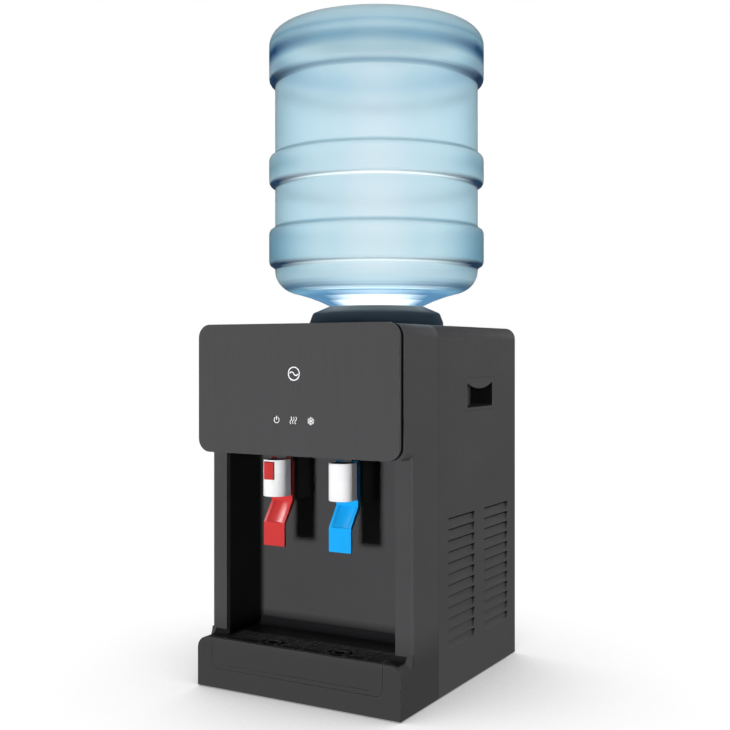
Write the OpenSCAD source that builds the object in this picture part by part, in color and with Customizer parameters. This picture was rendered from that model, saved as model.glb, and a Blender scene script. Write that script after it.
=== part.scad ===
// Countertop water dispenser with a top-loaded returnable bottle.
// Millimetres, +Z up, +X to the right of a person facing the taps, +Y to the back.
// The origin lies on the worktop, under the middle of the overall bounding box.

/* [Cabinet] */
// Width of the cabinet
cab_w = 292; // [284:1:300]
// Depth of the cabinet, fascia to rear edge
cab_d = 343.7; // [338:0.1:350]
// Height of the cabinet top above the worktop
cab_h = 457.5; // [450:0.5:470]
// Gap between the worktop and the lower edge of the shells
foot_gap = 1.5; // [1:0.5:4]
// Rounding of the upper long edges
edge_r = 15; // [10:1:20]
// Wall thickness of the moulded shells
wall = 3; // [2:0.5:3]
// Thickness of the steel sheets
sheet = 1.2; // [0.8:0.1:1.5]
// Depth of the moulded front frame, fascia to side panel seam
frame_d = 98; // [90:1:110]

/* [Fascia] */
// Half width of the fascia panel
fascia_hw = 144.5; // [138:0.5:146]
// Lower edge of the fascia panel
fascia_z0 = 298; // [290:1:305]
// Upper edge of the fascia panel
fascia_z1 = 458.8; // [455:0.1:462]
// Corner radius of the fascia panel
fascia_r = 17; // [10:1:22]
// Thickness of the fascia panel
fascia_t = 3.9; // [3:0.1:5]
// Front of the head behind the fascia
head_y = 8.8; // [7:0.1:12]

/* [Alcove and base] */
// Front of the columns beside the alcove
col_y = 30; // [26:0.2:40]
// Half width of the alcove at the column fronts
col_x = 123; // [121:0.5:130]
// Half width of the alcove inside
alc_x = 119.5; // [115:0.5:121]
// Back wall of the alcove
alc_y = 102; // [98:1:103]
// Top of the base box
base_z = 64; // [60:1:68]
// Level of the drip grille and deck
deck_z = 62; // [58:0.5:63]

/* [Drip tray] */
// Left edge of the tray front
tray_x0 = -123.7; // [-126:0.1:-120]
// Right edge of the tray front
tray_x1 = 122.1; // [120:0.1:126]
// Lower edge of the tray front
tray_z0 = 26.2; // [24:0.1:30]
// Half width of the grille
grille_hw = 116; // [100:1:116]
// Back edge of the grille
grille_y1 = 57; // [50:1:60]
// Number of slats
slats = 8; // [6:1:9]

/* [Taps] */
// Distance of each tap from the middle plane
tap_x = 48; // [40:1:56]
// Axis of the sleeve, behind the fascia front
tap_y = 32; // [30:1:34]
// Radius of the bright sleeve
sleeve_r = 15.5; // [14:0.5:16.5]
// Lower edge of the sleeve
sleeve_z0 = 244.5; // [242:0.5:246]
// Upper edge of the sleeve
sleeve_z1 = 290; // [289.5:0.5:292]
// Lower edge of the lever pad
pad_z0 = 182; // [175:1:190]

/* [Louvers] */
// Number of louvers in a column
louvers = 12; // [4:1:12]
// Distance between louvers
louver_pitch = 13.84; // [13.5:0.02:15]
// Upper edge of the highest louver
louver_top = 217.7; // [210:0.1:225]

/* [Bottle] */
// Axis of the bottle behind the fascia front
bottle_y = 204.1; // [200:0.1:208]
// Radius over the ribs
rib_r = 146.1; // [140:0.1:150]
// Radius of the barrel
barrel_r = 138; // [132:0.5:140]
// Wall thickness of the bottle
bottle_t = 1.6; // [1:0.1:2]
// Top of the inverted bottle
bottle_top = 860; // [845:1:880]

/* [Hidden] */
$fn = 72;

hw = cab_w / 2;
y_mid = (bottle_y + rib_r) / 2;     // middle of the overall depth, bottle included
// radius of the lower corners of the head
head_r = 9;
charcoal = "#4a4a4c";
black = "#161617";
// rear panel plane
rear_y = 318;
// bottle cone: height of its outer surface at radius r
function cone_z(r) = 469.7 + (r - 27.5) * 0.4693;
// half width of the tapered alcove at depth y
function alc_at(y) = alc_x + (alc_y - y) * (col_x - alc_x) / (alc_y - col_y);

// ---------- helpers ----------
module placed() translate([0, -y_mid, 0]) children();
// profile drawn in X,Z and run along Y
module run_y(y0, y1) translate([0, y1, 0]) rotate([90, 0, 0]) linear_extrude(height = y1 - y0) children();
// profile drawn in Y,Z and run along X
module run_x(x0, x1) translate([x0, 0, 0]) rotate([90, 0, 90]) linear_extrude(height = x1 - x0) children();
// profile drawn in X,Y and run along Z
module run_z(z0, z1) translate([0, 0, z0]) linear_extrude(height = z1 - z0) children();
module box(x0, x1, y0, y1, z0, z1) translate([x0, y0, z0]) cube([x1 - x0, y1 - y0, z1 - z0]);
// rounded rectangle
module rrect(x0, z0, x1, z1, r) {
    translate([x0 + r, z0]) square([x1 - x0 - 2 * r, z1 - z0]);
    translate([x0, z0 + r]) square([x1 - x0, z1 - z0 - 2 * r]);
    for (x = [x0 + r, x1 - r], z = [z0 + r, z1 - r]) translate([x, z]) circle(r);
}
// rectangle with rounded upper corners
module rtop(x0, z0, x1, z1, r) {
    translate([x0 + r, z0]) square([x1 - x0 - 2 * r, z1 - z0]);
    translate([x0, z0]) square([x1 - x0, z1 - z0 - r]);
    for (x = [x0 + r, x1 - r]) translate([x, z1 - r]) circle(r);
}
// rectangle with rounded lower corners
module rbot(x0, z0, x1, z1, r) {
    translate([x0 + r, z0]) square([x1 - x0 - 2 * r, z1 - z0]);
    translate([x0, z0 + r]) square([x1 - x0, z1 - z0 - r]);
    for (x = [x0 + r, x1 - r]) translate([x, z0 + r]) circle(r);
}
module cyl_y(x, z, y0, y1, r) translate([x, y0, z]) rotate([-90, 0, 0]) cylinder(h = y1 - y0, r = r);
module cyl_x(y, z, x0, x1, r) translate([x0, y, z]) rotate([0, 90, 0]) cylinder(h = x1 - x0, r = r);
module cyl_z(x, y, z0, z1, r) translate([x, y, z0]) cylinder(h = z1 - z0, r = r);
// straight rod between two points
module rod(a, b, r) {
    d = b - a; l = norm(d);
    translate(a) rotate([0, acos(d[2] / l), atan2(d[1], d[0])]) cylinder(h = l, r = r);
}
// hose along a list of points with round elbows
module hose(p, r) {
    for (i = [0 : len(p) - 2]) rod(p[i], p[i + 1], r);
    for (i = [1 : len(p) - 2]) translate(p[i]) sphere(r + 0.05);
}

// ---------- cabinet ----------
module base_pan() color("#6f7276") difference() {
    union() {
        box(-hw + 3.5, hw - 3.5, 4, rear_y - 0.3, 3, 3 + sheet);
        for (s = [-1, 1]) box(s > 0 ? hw - 3.5 - sheet : -hw + 3.5, s > 0 ? hw - 3.5 : -hw + 3.5 + sheet, 100, rear_y - 0.3, 3, 20);
        box(-hw + 3.5, hw - 3.5, rear_y - 0.3 - sheet, rear_y - 0.3, 3, 20);
    }
    for (x = [-118, 118], y = [30, 300]) cyl_z(x, y, 0, 10, 3);
    for (x = [-95, 5], y = [200, 270]) cyl_z(x, y, 0, 10, 4);
    // ventilation slots under the compressor
    for (i = [0 : 5]) run_z(2, 6) rrect(50, 190 + i * 14, 105, 195 + i * 14, 2.4);
}
module rubber_feet() color(black) for (x = [-118, 118], y = [30, 300]) {
    cyl_z(x, y, 0, 3, 11);
    cyl_z(x, y, 3, 3 + sheet, 2.95);
    translate([x, y, 3 + sheet]) cylinder(h = 3, r1 = 4.2, r2 = 2.6);
}

// outline of one column seen from above: outer side, front, flare and return
// outline of the head in X,Z, taken in by t
module head_outline(t) {
    rtop(-hw + t, fascia_z0 + head_r, hw - t, cab_h - t, edge_r - t);
    rbot(-hw + t, fascia_z0 + t, hw - t, fascia_z0 + head_r + 40, head_r - t);
}
module column_outline() difference() {
    union() {
        translate([col_x, col_y]) square([hw - col_x - 5, wall]);
        translate([hw - wall, col_y + 5]) square([wall, 10]);
        intersection() {
            translate([hw - 5, col_y + 5]) difference() { circle(5); circle(2); }
            translate([hw - 5, col_y]) square([5, 5]);
        }
        // return along the tapered alcove wall
        polygon([[col_x, col_y + 0.5], [alc_at(col_y + 7.2), col_y + 7.2], [alc_at(col_y + 7.2) + 2.6, col_y + 7.2],
            [col_x + 2.8, col_y + 0.5]]);
    }
}
// concave blend that follows the rounded upper corner of the base box
module foot_blend() intersection() {
    difference() {
        translate([hw - edge_r, 0, base_z - edge_r]) rotate([90, 0, 0])
            translate([0, 0, -col_y - 0.5]) cylinder(h = 10.5, r = edge_r + 10);
        translate([hw - edge_r, col_y - 10, base_z - edge_r]) rotate([90, 0, 0])
            rotate_extrude() translate([edge_r + 10, 0]) circle(10);
        cyl_y(hw - edge_r, base_z - edge_r, 0, col_y + 1, edge_r - wall);
    }
    box(hw - edge_r, hw, col_y - 10, col_y + 0.5, base_z - edge_r, base_z + 10);
}
module front_frame() color(charcoal) difference() {
    union() {
        // sides and top of the cabinet front section
        run_y(col_y + 5, frame_d) difference() {
            rtop(-hw, foot_gap, hw, cab_h, edge_r);
            rtop(-hw + wall, foot_gap - 1, hw - wall, cab_h - wall, edge_r - wall);
        }
        // head: closed front, rounded on all corners
        run_y(head_y, head_y + wall) head_outline(0);
        run_y(head_y + wall, col_y + 5) difference() {
            head_outline(0);
            head_outline(wall);
        }
        box(-alc_x - 5, alc_x + 5, col_y + 4, col_y + 7.2, fascia_z0, fascia_z0 + wall);
        // columns
        for (m = [0, 1]) mirror([m, 0, 0]) run_z(deck_z - 4, fascia_z0 + head_r) column_outline();
        for (m = [0, 1]) mirror([m, 0, 0]) run_z(foot_gap, deck_z - 3.9) difference() {
            translate([hw - wall, col_y - 1]) square([wall, 8]);
        }
        // base box
        run_y(0, wall) rtop(-hw, foot_gap, hw, base_z, edge_r);
        run_y(wall, col_y) difference() {
            rtop(-hw, foot_gap, hw, base_z, edge_r);
            rtop(-hw + wall, foot_gap - 1, hw - wall, base_z - wall, edge_r - wall);
        }
        for (m = [0, 1]) mirror([m, 0, 0]) foot_blend();
        // bosses for the fascia posts
        for (x = [-120, 120], z = [325, 432]) cyl_y(x, z, head_y, head_y + 8, 5);
    }
    // tray opening in the base front, open at the top
    run_y(-1, wall + 1) rbot(tray_x0 - 0.3, tray_z0 - 0.3, tray_x1 + 0.3, base_z + 1, 10.3);
    box(-124.3, 124.3, wall, 40, base_z - wall - 1, base_z + 1);
    // deck recess in the base top
    box(-139, 139, 6, col_y, deck_z - 3.4, base_z + 12);
    // opening behind the fascia for the indicator board and its wires
    run_y(head_y - 1, head_y + wall + 1) rrect(-40, 322, 40, 336, 3);
    // screw holes through the fascia bosses
    for (x = [-120, 120], z = [325, 432]) cyl_y(x, z, head_y - 1, head_y + 9, 1.6);
}
// plan of the alcove from depth y0 to its back wall, grown by t
module alcove_plan(y0, t) polygon([[-alc_at(y0) - t, y0], [alc_at(y0) + t, y0], [alc_x + t, alc_y + t], [-alc_x - t, alc_y + t]]);
module alcove_liner() color(charcoal) difference() {
    union() {
        // back, tapered sides and ceiling
        difference() {
            run_z(deck_z - 4, fascia_z0 + 2.5) alcove_plan(col_y + 7.4, 2.5);
            run_z(deck_z - 5, fascia_z0) alcove_plan(col_y + 6, 0);
        }
        // rounded inner corners of the back wall
        for (m = [0, 1]) mirror([m, 0, 0]) run_z(deck_z + 10.2, fascia_z0) difference() {
            translate([alc_x - 4, alc_y - 4]) square([4.6, 4.6]);
            translate([alc_x - 4, alc_y - 4]) circle(4);
        }
    }
    for (x = [-tap_x, tap_x]) cyl_y(x, 270, alc_y - 1, alc_y + 4, 7.2);
}
module tray_deck() color(black) {
    // shelf at the foot of the alcove
    run_z(deck_z - 3, deck_z) polygon([[-alc_at(grille_y1 + 0.5) + 0.3, grille_y1 + 0.5], [alc_at(grille_y1 + 0.5) - 0.3, grille_y1 + 0.5],
        [alc_x - 0.3, alc_y - 0.2], [-alc_x + 0.3, alc_y - 0.2]]);
    for (m = [0, 1]) mirror([m, 0, 0]) {
        // shoulders in front of the columns
        box(117, 138.8, 6.2, col_y - 0.3, deck_z - 3, deck_z);
        run_z(deck_z - 3, deck_z) polygon([[117, col_y - 0.5], [alc_at(col_y) - 0.3, col_y - 0.5], [alc_at(grille_y1 + 0.5) - 0.3, grille_y1 + 0.5],
            [117, grille_y1 + 0.5]]);
        // cove that rises at the column foot
        run_x(117, 138.8) difference() {
            translate([col_y - 8.3, deck_z - 0.01]) square([8, 6]);
            translate([col_y - 8.3, deck_z + 8]) circle(8);
        }
        // drawer channel sides and floor
        box(117.2, alc_x - 0.3, 3.4, 75, 24, deck_z - 3);
    }
    box(-118, 118, 3.4, 75, 24, 25.6);
    box(-118, 118, 73, 75, 24, deck_z - 3);
    // cove at the back wall
    run_x(-alc_x + 0.3, alc_x - 0.3) difference() {
        translate([alc_y - 10.2, deck_z - 0.01]) square([10, 10]);
        translate([alc_y - 10.2, deck_z + 10]) circle(10);
    }
}

// ---------- fascia symbols ----------
module arc2d(r, w, a0, a1) intersection() {
    difference() { circle(r + w / 2); circle(r - w / 2); }
    polygon([[0, 0], [3 * r * cos(a0), 3 * r * sin(a0)], [4 * r * cos((2 * a0 + a1) / 3), 4 * r * sin((2 * a0 + a1) / 3)],
        [4 * r * cos((a0 + 2 * a1) / 3), 4 * r * sin((a0 + 2 * a1) / 3)], [3 * r * cos(a1), 3 * r * sin(a1)]]);
}
module power_symbol() {
    difference() { circle(4.1); circle(3.1); translate([-1.7, 0]) square([3.4, 6]); }
    translate([-0.5, 0.2]) square([1, 4.8]);
}
module wave_line() {
    translate([0, 2.2]) arc2d(2.4, 0.95, -60, 60);
    translate([2.4, -1.95]) arc2d(2.4, 0.95, 120, 240);
}
module heat_symbol() for (x = [-5.4, -1.9, 1.6]) translate([x, 0]) wave_line();
module cold_symbol() for (a = [0 : 60 : 300]) rotate(a) {
    translate([-0.42, 0]) square([0.84, 5]);
    for (s = [-1, 1]) translate([0, 2.5]) rotate(s * 52) translate([-0.36, 0]) square([0.72, 2.3]);
}
// plain ring with a ripple, a maker-neutral mark
module ripple_mark() {
    difference() { circle(8.6); circle(7.2); }
    for (x = [-3.1, 3.1]) translate([x, x < 0 ? -1.35 : 1.35]) arc2d(3.4, 1.3, x < 0 ? 24 : 204, x < 0 ? 156 : 336);
}
module symbols() {
    translate([-25, 341.5]) power_symbol();
    translate([0, 341.5]) heat_symbol();
    translate([24.5, 341.5]) cold_symbol();
    translate([0, 398]) ripple_mark();
}
module front_panel() color(charcoal) difference() {
    union() {
        run_y(0, fascia_t) rrect(-fascia_hw, fascia_z0, fascia_hw, fascia_z1, fascia_r);
        for (x = [-120, 120], z = [325, 432]) cyl_y(x, z, fascia_t - 0.5, head_y, 4);
    }
    run_y(-1, 0.9) symbols();
    for (x = [-120, 120], z = [325, 432]) cyl_y(x, z, 2.2, head_y + 1, 1.3);
}
module indicator_lenses() color("#f2f4f5") run_y(0, 0.9) symbols();
module indicator_board() color("#1f5a38") {
    box(-45, 45, 5.6, 7, 332, 351);
    for (x = [-25, 0, 24.5]) cyl_y(x, 341.5, 4.2, 5.6, 2);
    box(-16, 16, 7, 12, 325, 333);
}

// ---------- side panels ----------
// wedge of one louver: full depth at its top edge, flush at its foot, conical ends
module louver_wedge(y0, y1, zt, d, h) {
    run_y(y0 + 6, y1 - 6) polygon([[hw + 1, zt], [hw - d, zt], [hw, zt - h], [hw + 1, zt - h]]);
    for (y = [y0 + 6, y1 - 6]) translate([hw, y, zt - h]) cylinder(h = h, r1 = 0, r2 = d);
}
module side_sheet() difference() {
    run_y(frame_d + 0.3, cab_d) intersection() {
        difference() {
            rtop(-hw, foot_gap, hw, cab_h, edge_r);
            rtop(-hw + sheet, foot_gap - 1, hw - sheet, cab_h - sheet, edge_r - sheet);
        }
        translate([125, 0]) square([hw, cab_h + 10]);
    }
    run_x(hw - 3, hw + 1) rrect(173.6, 348.8, 273.7, 391.2, 4.2);
}
module side_panel() difference() {
    union() {
        side_sheet();
        // rear return flange
        box(hw - 8, hw - 1, rear_y - sheet - 0.3, rear_y - 0.3, 22, cab_h - 20);
        for (y = [[125.6, 205.3], [235.5, 316.2]], i = [0 : louvers - 1]) let (zt = louver_top - i * louver_pitch)
            intersection() {
                louver_wedge(y[0] - 1, y[1] + 1, zt, 7.2, 13.8);
                box(hw - 9, hw - 0.6, y[0] - 9, y[1] + 9, zt - 12.6, zt - 3);
            }
    }
    for (y = [[125.6, 205.3], [235.5, 316.2]], i = [0 : louvers - 1])
        louver_wedge(y[0], y[1], louver_top - i * louver_pitch, 6, 11.5);
}
module right_side_panel() color(charcoal) side_panel();
module left_side_panel() color(charcoal) mirror([1, 0, 0]) side_panel();
// hand-hold: flush plate, arched upper lip, blind pocket
module hand_hold() difference() {
    union() {
        run_x(hw - 2, hw) rrect(173.8, 349, 273.5, 391, 4);
        run_x(hw - 34, hw - 1) rrect(180.3, 350.2, 264.8, 388.5, 4);
    }
    run_x(hw - 32, hw - 2.5) rrect(182.5, 352.4, 262.6, 386.3, 2.5);
    run_x(hw - 3, hw + 1) difference() {
        rrect(182.5, 352.4, 262.6, 384.5, 2.5);
        translate([222.5, 376.6 + 105.5]) circle(105.5);
    }
}
module right_hand_hold() color(charcoal) hand_hold();
module left_hand_hold() color(charcoal) mirror([1, 0, 0]) hand_hold();
module top_cover() color(charcoal) difference() {
    union() {
        box(-124.7, 124.7, frame_d + 0.3, cab_d, cab_h - wall, cab_h);
        // stiffening skirt round the bottle seat
        translate([0, bottle_y, cab_h - wall - 3.5]) difference() { cylinder(h = 4, r = 98); translate([0, 0, -1]) cylinder(h = 6, r = 95); }
        // rear lip
        box(-124.7, 124.7, cab_d - 3, cab_d, cab_h - 14, cab_h - 1);
    }
    translate([0, bottle_y, cab_h - wall - 1]) cylinder(h = wall + 2, r = 78);
}
module rear_panel() color("#6f7276") difference() {
    run_y(rear_y, rear_y + sheet) square_panel();
    // outlets
    cyl_y(70, 40, rear_y - 1, rear_y + 3, 8.4);
    cyl_y(-110, 45, rear_y - 1, rear_y + 3, 8.2);
    run_y(rear_y - 1, rear_y + 3) rrect(92, 105, 116, 159, 1);
    for (x = [-138, 138], z = [40, 165, 290, 415]) cyl_y(x, z, rear_y - 1, rear_y + 3, 1.8);
    // cooling slots low in the panel
    for (i = [0 : 6]) run_y(rear_y - 1, rear_y + 3) rrect(-80, 60 + 12 * i, 50, 65 + 12 * i, 2.4);
}
module square_panel() rtop(-hw + 1.5, 21, hw - 1.5, cab_h - 3.6, edge_r - 2);
module case_screws() color("#9a9da1") {
    for (x = [-138, 138], z = [40, 165, 290, 415]) {
        difference() {
            cyl_y(x, z, rear_y + sheet, rear_y + sheet + 2.2, 3.6);
            box(x - 2.6, x + 2.6, rear_y + sheet + 1.2, rear_y + sheet + 3, z - 0.5, z + 0.5);
            box(x - 0.5, x + 0.5, rear_y + sheet + 1.2, rear_y + sheet + 3, z - 2.6, z + 2.6);
        }
        cyl_y(x, z, rear_y, rear_y + sheet, 1.7);
    }
    for (x = [-120, 120], z = [325, 432]) {
        cyl_y(x, z, head_y + 8, head_y + 10, 3.4);
        cyl_y(x, z, 3.5, head_y + 8, 1.25);
    }
}

// ---------- bottle seat ----------
module bottle_collar() color("#1c2129") translate([0, bottle_y, 0]) rotate_extrude()
    polygon([[91.2, 457.8], [91.2, 464], [90.6, 465.8], [86.9, 475.6], [85.4, 477.2], [66, 485.4], [64, 486],
        [62.2, 485.2], [61, 484], [61, 481], [63.2, 481], [64, 483.2], [84.2, 474.7], [88.7, 463.6], [88.7, 457.8]]);
module seat_funnel() color("#23262b") translate([0, bottle_y, 0]) difference() {
    union() {
        rotate_extrude() polygon([[36, 469.69], [60.5, 481.19], [60.5, 460.3], [84, 460.3], [84, 457.8], [58, 457.8],
            [58, 477.2], [38.5, 468], [38.5, 402], [8, 402], [8, 404.5], [36, 404.5]]);
        // outlet spigot under the floor
        translate([0, 0, 398]) cylinder(h = 6.5, r = 9);
    }
    translate([0, 0, 397]) cylinder(h = 9, r = 6);
    // overflow holes low in the seat wall
    for (a = [45 : 90 : 315]) rotate(a) cyl_x(0, 412, 30, 45, 3);
}
// spike that opens the bottle cap, standing on the floor of the seat
module feed_spike() color("#23262b") translate([0, bottle_y, 0]) difference() {
    union() {
        translate([0, 0, 404.5]) cylinder(h = 49.5, r = 9);
        translate([0, 0, 454]) cylinder(h = 10, r1 = 9, r2 = 3);
    }
    translate([0, 0, 403]) cylinder(h = 49, r = 6);
    // water and air windows
    for (a = [0, 90]) rotate(a) box(-12, 12, -2.6, 2.6, 430, 448);
}
module seat_gasket() color("#c9ccd0") translate([0, bottle_y, 0]) rotate_extrude()
    polygon([[48, cone_z(48) - 3.9], [58, cone_z(58) - 3.9], [58, cone_z(58) - 0.7], [57, cone_z(57) - 0.35],
        [49, cone_z(49) - 0.35], [48, cone_z(48) - 0.7]]);

// ---------- bottle ----------
// height-radius stations of one rib, z0 and z1 are its full-width limits
function rib(z0, z1, r0, r1, t) = [[r0 - t, z0 - 5 + t], [r0 + (r1 - r0) * 0.22 - t, z0 - 2.6 + t], [r0 + (r1 - r0) * 0.75 - t, z0 + 0.2 + t],
    [r1 - 0.6 - t, z0 + 2.6 + t], [r1 - t, z0 + 6 + t], [r1 - t, z1 - 6 - t], [r1 - 0.6 - t, z1 - 2.6 - t],
    [r0 + (r1 - r0) * 0.75 - t, z1 - 0.2 - t], [r0 + (r1 - r0) * 0.22 - t, z1 + 2.6 - t], [r0 - t, z1 + 5 - t]];
// shoulder between the cone and the barrel, quarter of a soft oval
function shoulder(t) = [for (a = [0 : 10 : 80]) [barrel_r - t - 36 * (1 - cos(a)), 534 - (34 - t) * sin(a) * 0.92]];
function rev(v) = [for (i = [len(v) - 1 : -1 : 0]) v[i]];
function crown(t) = [for (a = [0 : 10 : 90]) [rib_r - t - (22 - t) * (1 - cos(a)), bottle_top - 22 + (22 - t) * sin(a)]];
function bottle_side(t) = concat(
    [[27.5 - t * 2, 419.5 - t], [27.5 - t * 2, 468.5 + t], [30 - t, cone_z(30) + t]],
    [[77, cone_z(77) + t], [92, cone_z(92) - 1.4 + t]],
    rev(shoulder(t)),
    rib(541, 589, barrel_r, rib_r, t), rib(650, 688, barrel_r, rib_r, t),
    [for (p = rib(789, 900, barrel_r, rib_r, t)) if (p[1] < 830) p], crown(t));
module water_bottle() color([0.72, 0.85, 0.93, 0.5]) translate([0, bottle_y, 0]) rotate_extrude() {
    difference() {
        union() {
            polygon(concat([[0, 419.5]], bottle_side(0), [[0, bottle_top]]));
            // neck bead that holds the cap
            translate([0, 436.5]) square([30.5, 4]);
        }
        polygon(concat([[0, 400]], [[27.5 - bottle_t * 2, 400]], bottle_side(bottle_t), [[0, bottle_top - bottle_t]]));
        // shallow dish in the bottle base
        polygon([[0, bottle_top - 8], [60, bottle_top - 8], [96, bottle_top + 0.01], [0, bottle_top + 0.01]]);
    }
    polygon([[0, bottle_top - 8 - bottle_t], [60.5, bottle_top - 8 - bottle_t], [97, bottle_top - bottle_t],
        [97, bottle_top], [96, bottle_top], [60, bottle_top - 8], [0, bottle_top - 8]]);
}
module bottle_cap() color("#2b62b5") translate([0, bottle_y, 0]) difference() {
    union() {
        cyl_z(0, 0, 417, 436.2, 30);
        for (a = [0 : 15 : 345]) rotate(a) cyl_z(29.6, 0, 419, 434, 0.9);
    }
    cyl_z(0, 0, 419.5, 437, 27.56);
    cyl_z(0, 0, 416, 420, 11);
}

// ---------- cold side ----------
module cold_tank() color("#b9bcc0") translate([0, bottle_y, 0]) difference() {
    union() {
        cyl_z(0, 0, 306, 449, 62);
        for (x = [-25, 25]) cyl_z(x, 0, 276, 307, 5);
        // thermostat bulb pocket
        cyl_z(0, 56, 306.5, 400, 3.2);
    }
    difference() { cyl_z(0, 0, 307, 450, 61); cyl_z(0, 56, 306, 400, 3.2); }
    for (x = [-25, 25]) cyl_z(x, 0, 270, 310, 3.6);
}
module cold_tank_lid() color("#e6e6e2") translate([0, bottle_y, 449.1]) difference() {
    union() { cylinder(h = 2.4, r = 66); translate([0, 0, -5]) difference() { cylinder(h = 5.5, r = 60.6); translate([0, 0, -1]) cylinder(h = 8, r = 58); } }
    translate([0, 0, -6]) cylinder(h = 12, r = 40);
}
module tank_insulation() color("#f1f1ee") translate([0, bottle_y, 0]) difference() {
    cyl_z(0, 0, 284, 448.5, 88);
    cyl_z(0, 0, 304, 450, 69);
    for (x = [-25, 25]) cyl_z(x, 0, 280, 310, 5.5);
    box(60, 90, -5, 5, 362, 450);
}
module tank_shelf() color("#8c8f93") difference() {
    union() {
        box(-112, 112, 106, rear_y - 0.3, 282.3, 283.8);
        box(-112, 112, rear_y - 1.8, rear_y - 0.3, 283.8, 300);
        box(-112, 112, 105, 106.5, 262, 283.8);
        for (s = [-1, 1]) box(s > 0 ? 110.5 : -112, s > 0 ? 112 : -110.5, 106, rear_y - 0.3, 270, 283.8);
    }
    for (x = [-25, 25]) cyl_z(x, bottle_y, 280, 286, 7);
    for (x = [-tap_x, tap_x]) box(x - 10, x + 10, 104, 108, 258, 281);
}
module baffle_disc() color("#dfe3e6") translate([0, bottle_y, 0]) difference() {
    union() {
        cyl_z(0, 0, 352, 354, 51);
        cyl_z(0, 0, 354, 397.6, 8.5);
        cyl_z(0, 0, 318, 352.1, 6);
    }
    cyl_z(0, 0, 317, 400, 4.5);
    for (a = [0 : 60 : 300]) rotate(a) cyl_z(40, 0, 350, 356, 5);
}
module evaporator_coil() color("#b87346") translate([0, bottle_y, 0]) {
    for (i = [0 : 7]) translate([0, 0, 314 + 7.2 * i]) rotate_extrude() translate([65.3, 0]) circle(3);
    // riser that links the turns, and the two leads
    cyl_z(65.3, 0, 315, 381, 2.1);
    for (z = [371, 380]) cyl_x(0, z, 62.6, 100, 3);
}

// ---------- hot side ----------
module hot_tank() color("#c3c6c9") {
    difference() {
        union() {
            cyl_z(62, 165, 130, 240, 40);
            cyl_x(165, 226, 14, 24, 5);
            cyl_x(165, 150, 14, 24, 5);
            cyl_z(62, 165, 122, 131, 5);
        }
        cyl_z(62, 165, 131.2, 238.8, 38.8);
        cyl_x(165, 226, 13, 26, 3.5);
        cyl_x(165, 150, 13, 26, 3.5);
        cyl_z(62, 165, 121, 133, 3.5);
    }
    for (a = [30, 150, 270]) translate([62, 165, 0]) rotate(a) cyl_z(33, 0, 3 + sheet, 130.5, 3.5);
}
module heater_band() color("#5b5f66") difference() {
    union() {
        cyl_z(62, 165, 170, 205, 43);
        box(100, 112, 159, 171, 176, 199);
    }
    cyl_z(62, 165, 169, 206, 40.1);
}
module thermostat_discs() color("#222428") for (z = [214, 229]) {
    cyl_x(165, z, 102.1, 108, 6.5);
    for (y = [162, 168]) box(108, 113, y - 0.5, y + 0.5, z - 2, z + 2);
}
module outlet_hoses() color("#d9dde0") {
    hose([[25, bottle_y, 276], [25, bottle_y, 257], [tap_x, 150, 262], [tap_x, 128, 270], [tap_x, 120, 270]], 5.5);
    hose([[14, 165, 226], [4, 165, 226], [-tap_x, 142, 252], [-tap_x, 128, 270], [-tap_x, 120, 270]], 5.5);
}
module hot_feed_hose() color("#d9dde0") hose([[-25, bottle_y, 276], [-25, bottle_y, 205], [-6, 165, 158], [4, 165, 150], [14, 165, 150]], 5.5);
module drain_hose() color("#d9dde0") hose([[62, 165, 122], [62, 165, 70], [70, 280, 40], [70, 306, 40]], 5.5);
module drain_outlet() color("#d8d8d4") difference() {
    union() {
        cyl_y(70, 40, 306, 334, 8);
        cyl_y(70, 40, rear_y + sheet, rear_y + sheet + 2.5, 12);
        cyl_y(70, 40, rear_y - 5, rear_y - 0.2, 12);
    }
    cyl_y(70, 40, 305, 335, 5);
}
module drain_cap() color("#e9e9e6") difference() {
    union() {
        cyl_y(70, 40, 325, 340, 11);
        for (a = [0 : 30 : 330]) translate([70, 0, 40]) rotate([0, a, 0]) cyl_y(10.6, 0, 327, 339, 1.1);
    }
    cyl_y(70, 40, 324, 334.4, 8.06);
}

// ---------- refrigeration ----------
module compressor() color("#1b1c1e") {
    translate([-45, 235, 0]) {
        translate([0, 0, 19]) cylinder(h = 12, r1 = 40, r2 = 50);
        cyl_z(0, 0, 31, 106, 50);
        cyl_z(0, 0, 66, 70, 52);
        translate([0, 0, 106]) cylinder(h = 16, r1 = 50, r2 = 38);
        translate([0, 0, 122]) cylinder(h = 6, r1 = 38, r2 = 20);
        // service stubs
        for (a = [60, 100, 140]) rotate(a) translate([42, 0, 112]) cylinder(h = 22, r = 3);
    }
    difference() {
        run_z(17, 19.2) rrect(-104, 191, 14, 279, 8);
        for (x = [-95, 5], y = [200, 270]) cyl_z(x, y, 16, 20, 5);
    }
}
module compressor_grommets() color(black) for (x = [-95, 5], y = [200, 270]) {
    cyl_z(x, y, 3 + sheet, 17, 8);
    cyl_z(x, y, 17, 19.2, 4.9);
    cyl_z(x, y, 19.2, 22, 8);
    cyl_z(x, y, 3, 3 + sheet, 3.95);
}
module relay_box() color("#26272a") run_z(48, 88) rrect(-115, 222, -97.2, 252, 3);
module filter_drier() color("#b87346") translate([-118, 296, 0]) {
    cyl_z(0, 0, 150, 230, 8);
    translate([0, 0, 138]) cylinder(h = 12, r1 = 2.5, r2 = 8);
    translate([0, 0, 230]) cylinder(h = 12, r1 = 8, r2 = 2.5);
    cyl_z(0, 0, 125, 138, 2.5);
    cyl_z(0, 0, 242, 262, 2.5);
}
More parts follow.
